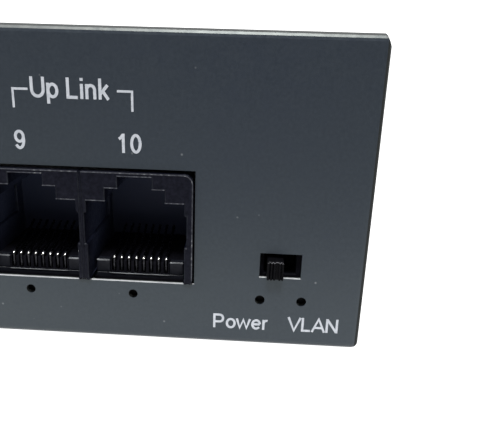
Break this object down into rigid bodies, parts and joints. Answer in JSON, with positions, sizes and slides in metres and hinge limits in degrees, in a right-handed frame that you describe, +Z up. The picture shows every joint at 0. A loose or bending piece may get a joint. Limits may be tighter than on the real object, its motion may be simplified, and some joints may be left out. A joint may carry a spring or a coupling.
{
  "type": "rackmount network switch",
  "caption": "Low, wide powder-coated steel network switch with a row of modular jacks, indicator holes, a slide switch and a rear mains inlet.",
  "frame": {"origin": "on the surface that the feet stand on, in the middle of the whole object's box", "axes": "+X to the right as seen from the front, -Y out of the front panel, +Z up"},
  "size_m": [0.28, 0.1842, 0.043],
  "materials": {
    "charcoal_paint": "fine orange-peel powder coat, satin",
    "black_plastic": "moulded, slightly glossy",
    "contact_gold": "gold plated",
    "green_board": "solder mask",
    "bright_steel": "zinc plated",
    "black_rubber": "matt",
    "aluminium": "extruded, satin",
    "clear_acrylic": "clear moulding",
    "ferrite": "matt",
    "capacitor_sleeve": "shrunk sleeve",
    "wire_insulation": "soft vinyl"
  },
  "bodies": {
    "chassis": {"base_tray": "charcoal_paint", "bulk_capacitor": "capacitor_sleeve", "contact_insert_1": "contact_gold", "contact_insert_10": "contact_gold", "contact_insert_2": "contact_gold", "contact_insert_3": "contact_gold", "contact_insert_4": "contact_gold", "contact_insert_5": "contact_gold", "contact_insert_6": "contact_gold", "contact_insert_7": "contact_gold", "contact_insert_8": "contact_gold", "contact_insert_9": "contact_gold", "cover_screw_left_front": "bright_steel", "cover_screw_left_rear": "bright_steel", "cover_screw_right_front": "bright_steel", "cover_screw_right_rear": "bright_steel", "dc_cable": "wire_insulation", "ground_screw": "bright_steel", "inlet_body": "black_plastic", "inlet_pin_earth": "bright_steel", "inlet_pin_line": "bright_steel", "inlet_pin_neutral": "bright_steel", "jack_housing_1": "black_plastic", "jack_housing_10": "black_plastic", "jack_housing_2": "black_plastic", "jack_housing_3": "black_plastic", "jack_housing_4": "black_plastic", "jack_housing_5": "black_plastic", "jack_housing_6": "black_plastic", "jack_housing_7": "black_plastic", "jack_housing_8": "black_plastic", "jack_housing_9": "black_plastic", "light_guide_poe": "clear_acrylic", "light_guide_status": "clear_acrylic", "light_guide_uplink": "clear_acrylic", "line_transformer_1": "ferrite", "line_transformer_2": "ferrite", "line_transformer_3": "ferrite", "line_transformer_4": "ferrite", "line_transformer_5": "ferrite", "main_board": "green_board", "main_board_screw_1": "bright_steel", "main_board_screw_2": "bright_steel", "main_board_screw_3": "bright_steel", "main_board_screw_4": "bright_steel", "mains_lead_line": "wire_insulation", "mains_lead_neutral": "wire_insulation", "power_board": "green_board", "power_board_screw_1": "bright_steel", "power_board_screw_2": "bright_steel", "power_heat_sink": "aluminium", "power_transformer": "ferrite", "rubber_foot_1": "black_rubber", "rubber_foot_2": "black_rubber", "rubber_foot_3": "black_rubber", "rubber_foot_4": "black_rubber", "slide_switch_body": "black_plastic", "switch_chip_heat_sink": "aluminium", "top_cover": "charcoal_paint"},
    "switch_knob": {"slide_switch_knob": "black_plastic"}
  },
  "joints": [
    {"name": "vlan_slide", "type": "slide", "parent": "chassis", "child": "switch_knob", "axis": [1, 0, 0], "range_m": [0, 0.0015]}
  ]
}
